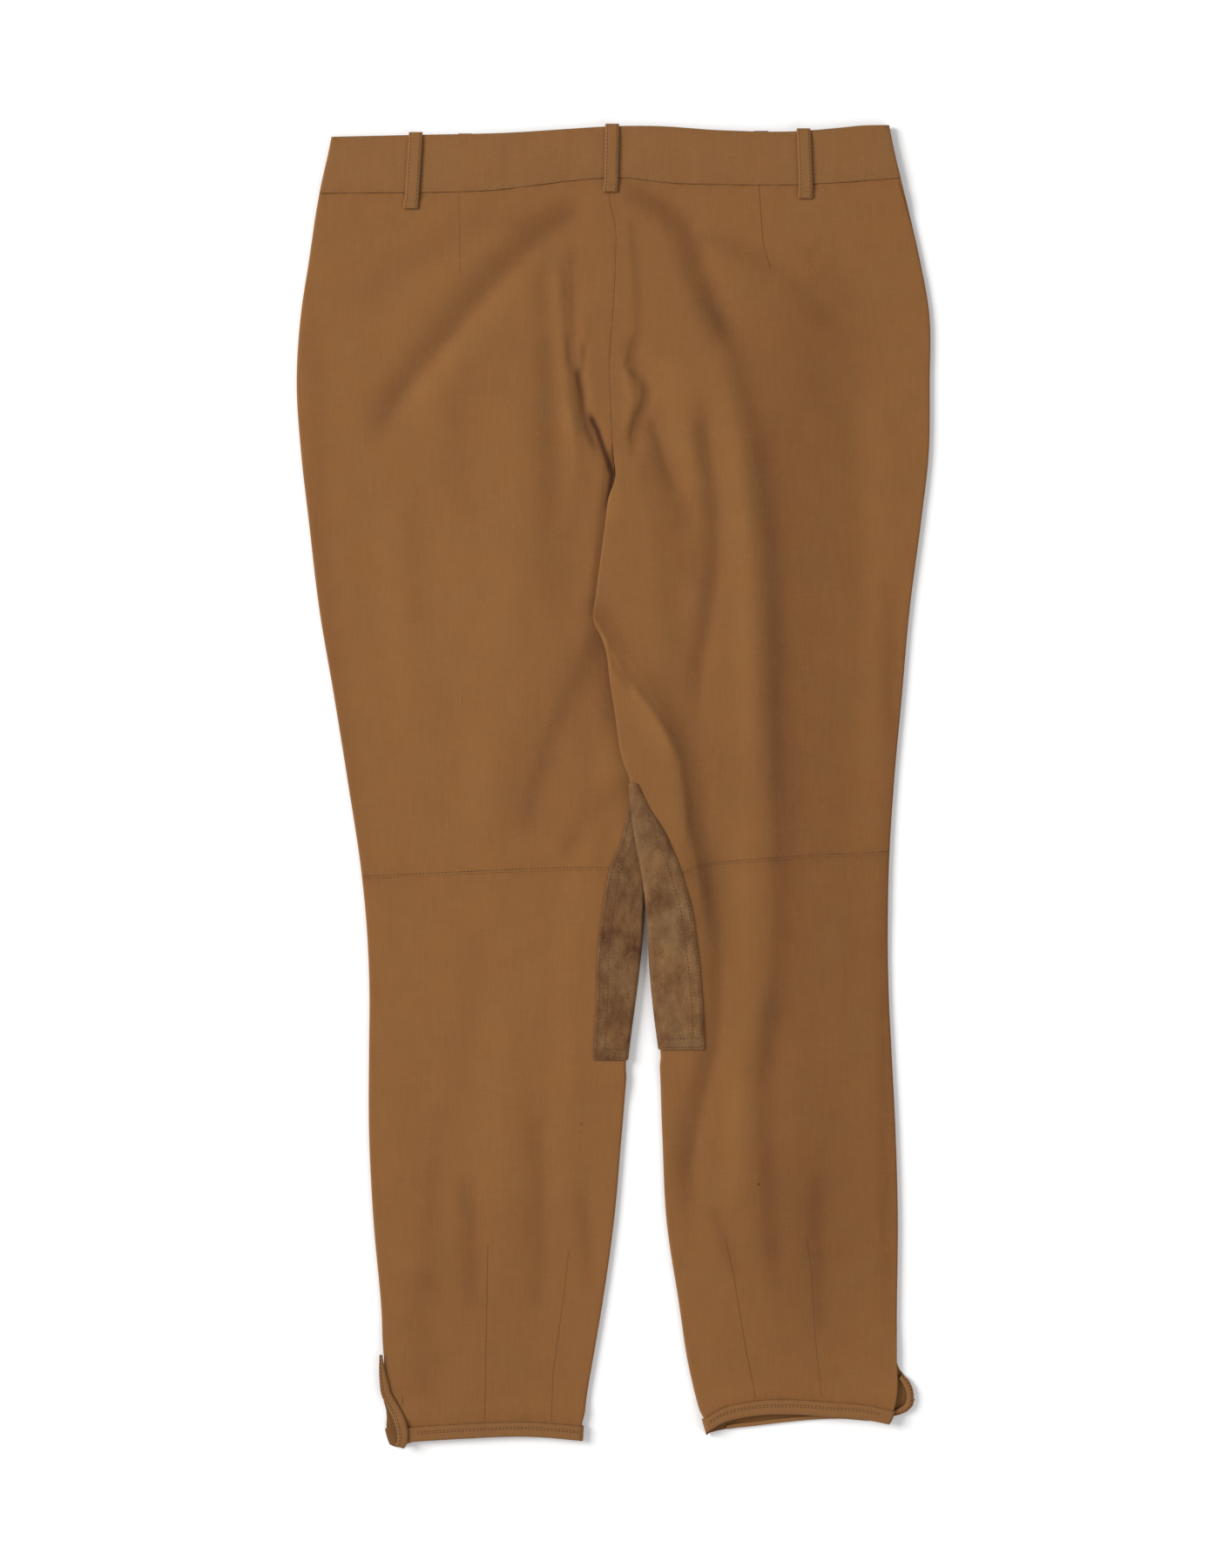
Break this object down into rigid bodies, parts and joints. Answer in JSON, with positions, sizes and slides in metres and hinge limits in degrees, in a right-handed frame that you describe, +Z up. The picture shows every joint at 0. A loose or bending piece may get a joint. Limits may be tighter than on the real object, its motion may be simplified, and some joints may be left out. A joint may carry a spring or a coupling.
{
  "type": "slim trousers",
  "caption": "Cropped slim trousers in tan cotton twill laid flat back up, with suede patches at the inner knees, bound hems and open hem vents.",
  "frame": {"origin": "the middle of the laid-out trousers' outline, on the surface that they lie on", "axes": "+Y runs from the hems to the waist, +X to the wearer's right leg, which is at the right as the back shows, and +Z up from the surface"},
  "size_m": [0.4797, 0.9998, 0.0143],
  "materials": {
    "twill": "matt cotton twill, tan, softly worn",
    "suede": "suede with an uneven nap, grey-brown",
    "button": "dark horn look, satin"
  },
  "bodies": {
    "root": {"back_thigh_left": "twill", "back_thigh_right": "twill", "back_calf_left": "twill", "back_calf_right": "twill", "front_left": "twill", "front_right": "twill", "waistband_back": "twill", "waistband_front_left": "twill", "waistband_front_right": "twill", "belt_loop_back_left": "twill", "belt_loop_back_centre": "twill", "belt_loop_back_right": "twill", "belt_loop_front_left": "twill", "belt_loop_front_right": "twill", "hem_band_back_left": "twill", "hem_band_back_right": "twill", "hem_band_front_left": "twill", "hem_band_front_right": "twill", "vent_binding_left": "twill", "vent_binding_right": "twill", "knee_patch_left": "suede", "knee_patch_right": "suede", "waist_button": "button"}
  },
  "joints": []
}
